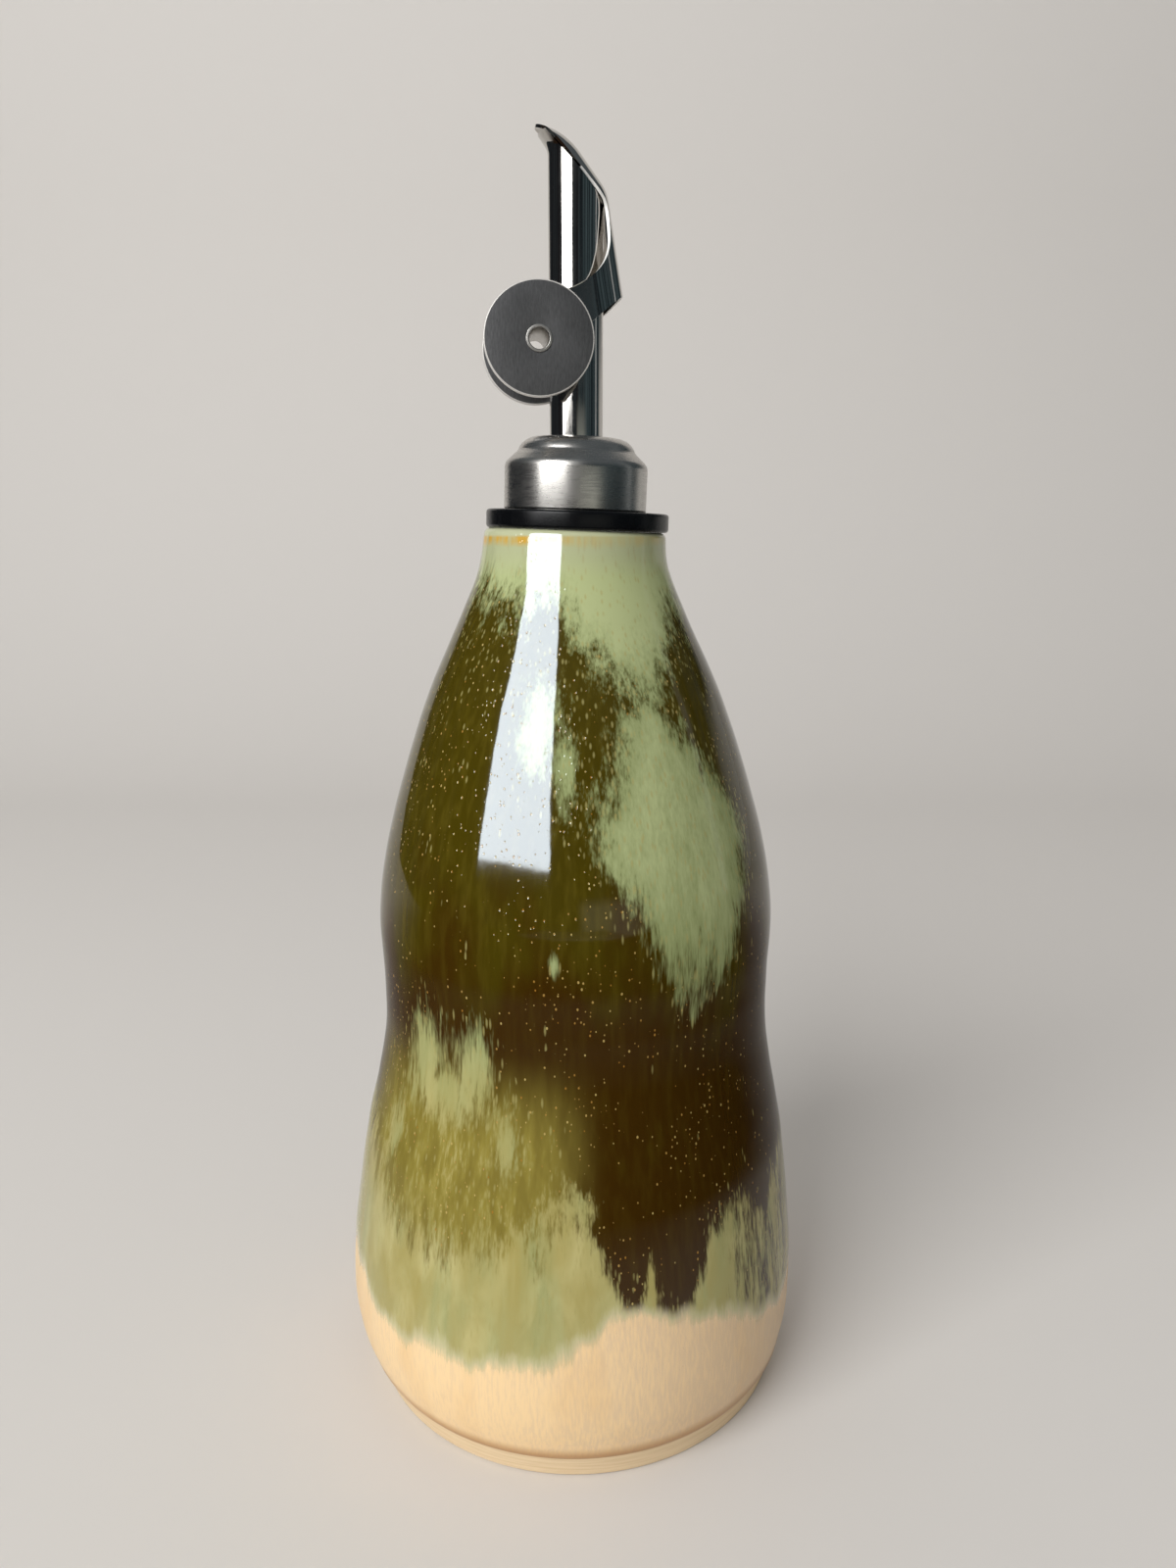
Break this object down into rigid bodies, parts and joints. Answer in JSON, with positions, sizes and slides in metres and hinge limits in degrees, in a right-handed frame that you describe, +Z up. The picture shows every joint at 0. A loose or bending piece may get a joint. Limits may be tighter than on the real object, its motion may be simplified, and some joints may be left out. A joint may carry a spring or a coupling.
{
  "type": "oil jar with flap pourer",
  "caption": "Waisted glazed stoneware oil jar with a rubber-seated steel pourer, whose weighted flap swings open over the spout.",
  "frame": {"origin": "centre of the jar's foot, on the table", "axes": "+Z up the jar; +X to the right as the pourer's lip points left; +Y away from the viewer"},
  "size_m": [0.087, 0.087, 0.2246],
  "materials": {
    "glazed_stoneware": "glossy dripped glaze over a bare foot",
    "black_rubber": "matt",
    "brushed_cap": "satin, brushed",
    "polished_tube": "mirror polished stainless steel",
    "polished_flap": "mirror polished stainless steel",
    "satin_weight": "satin, fine grained",
    "rivet_steel": "bright, spread ends"
  },
  "bodies": {
    "jar_body": {"jar": "glazed_stoneware", "collar": "black_rubber", "cap": "brushed_cap", "spout": "polished_tube", "rivet_near": "rivet_steel", "rivet_far": "rivet_steel"},
    "flap_body": {"flap": "polished_flap", "weight_near": "satin_weight", "weight_far": "satin_weight", "sleeve": "rivet_steel"}
  },
  "joints": [
    {"name": "flap_swing", "type": "hinge", "parent": "jar_body", "child": "flap_body", "pos_m": [0.00025, 0, 0.19585], "axis": [-0.1045, 0.9945, 0], "range_deg": [0, 60]}
  ]
}
